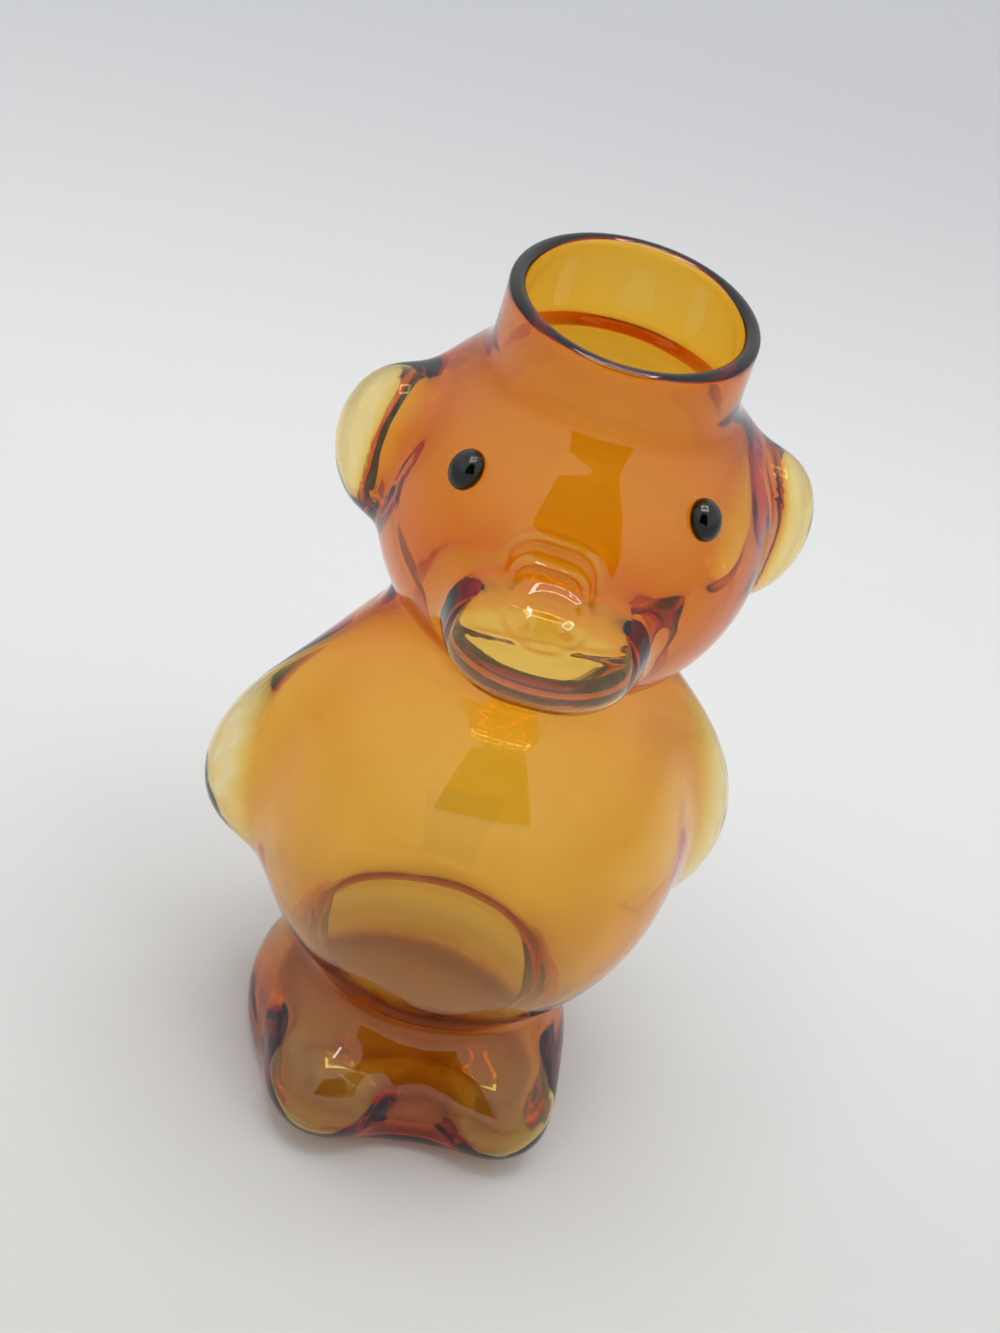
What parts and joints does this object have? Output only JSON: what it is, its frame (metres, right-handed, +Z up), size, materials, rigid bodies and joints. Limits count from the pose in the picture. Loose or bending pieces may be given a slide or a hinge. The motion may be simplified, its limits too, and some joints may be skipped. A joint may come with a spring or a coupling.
{
  "type": "drinking glass",
  "caption": "Hollow bear-shaped drinking glass of blown amber glass, with an open round mouth on top of its head and dark glass eye beads.",
  "frame": {"origin": "on the flat underside, below the middle of the mouth", "axes": "+Z up through the middle of the mouth, the bear looks towards -Y, its left side is at +X"},
  "size_m": [0.1084, 0.091, 0.194],
  "materials": {
    "amber_glass": "clear amber, polished",
    "eye_glass": "dark smoky green, polished"
  },
  "bodies": {
    "root": {"glass_body": "amber_glass", "left_eye": "eye_glass", "right_eye": "eye_glass"}
  },
  "joints": []
}
